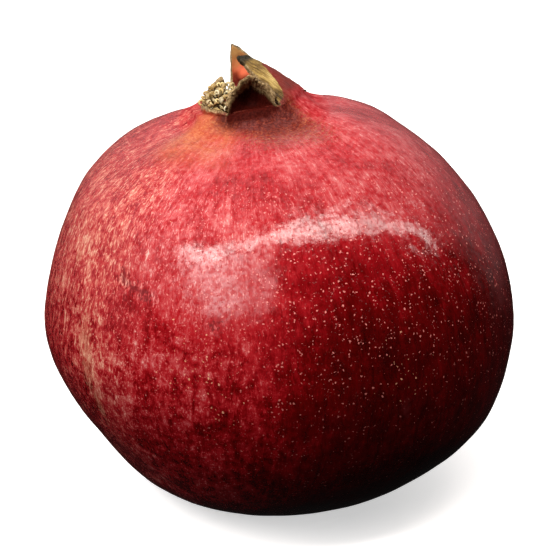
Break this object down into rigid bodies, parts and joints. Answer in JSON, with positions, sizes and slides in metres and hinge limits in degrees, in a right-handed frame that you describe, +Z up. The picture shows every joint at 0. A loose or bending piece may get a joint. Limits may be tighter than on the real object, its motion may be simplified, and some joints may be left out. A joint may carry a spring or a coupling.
{
  "type": "pomegranate",
  "caption": "Whole ripe pomegranate that rests on its stem end, with an open dried calyx crown and its stamens on top.",
  "frame": {"origin": "middle of the fruit's box, on the surface that it rests on", "axes": "+Z up from the stem end to the crown, -Y towards the front, where the pressed-in calyx lobe opens, +X to the right"},
  "size_m": [0.096, 0.0944, 0.0917],
  "materials": {
    "rind": "waxy half-gloss rind, deep red with pale pink dots and streaks",
    "stamens": "dry, matt, straw gold"
  },
  "bodies": {
    "root": {"fruit": "rind", "stamens": "stamens"}
  },
  "joints": []
}
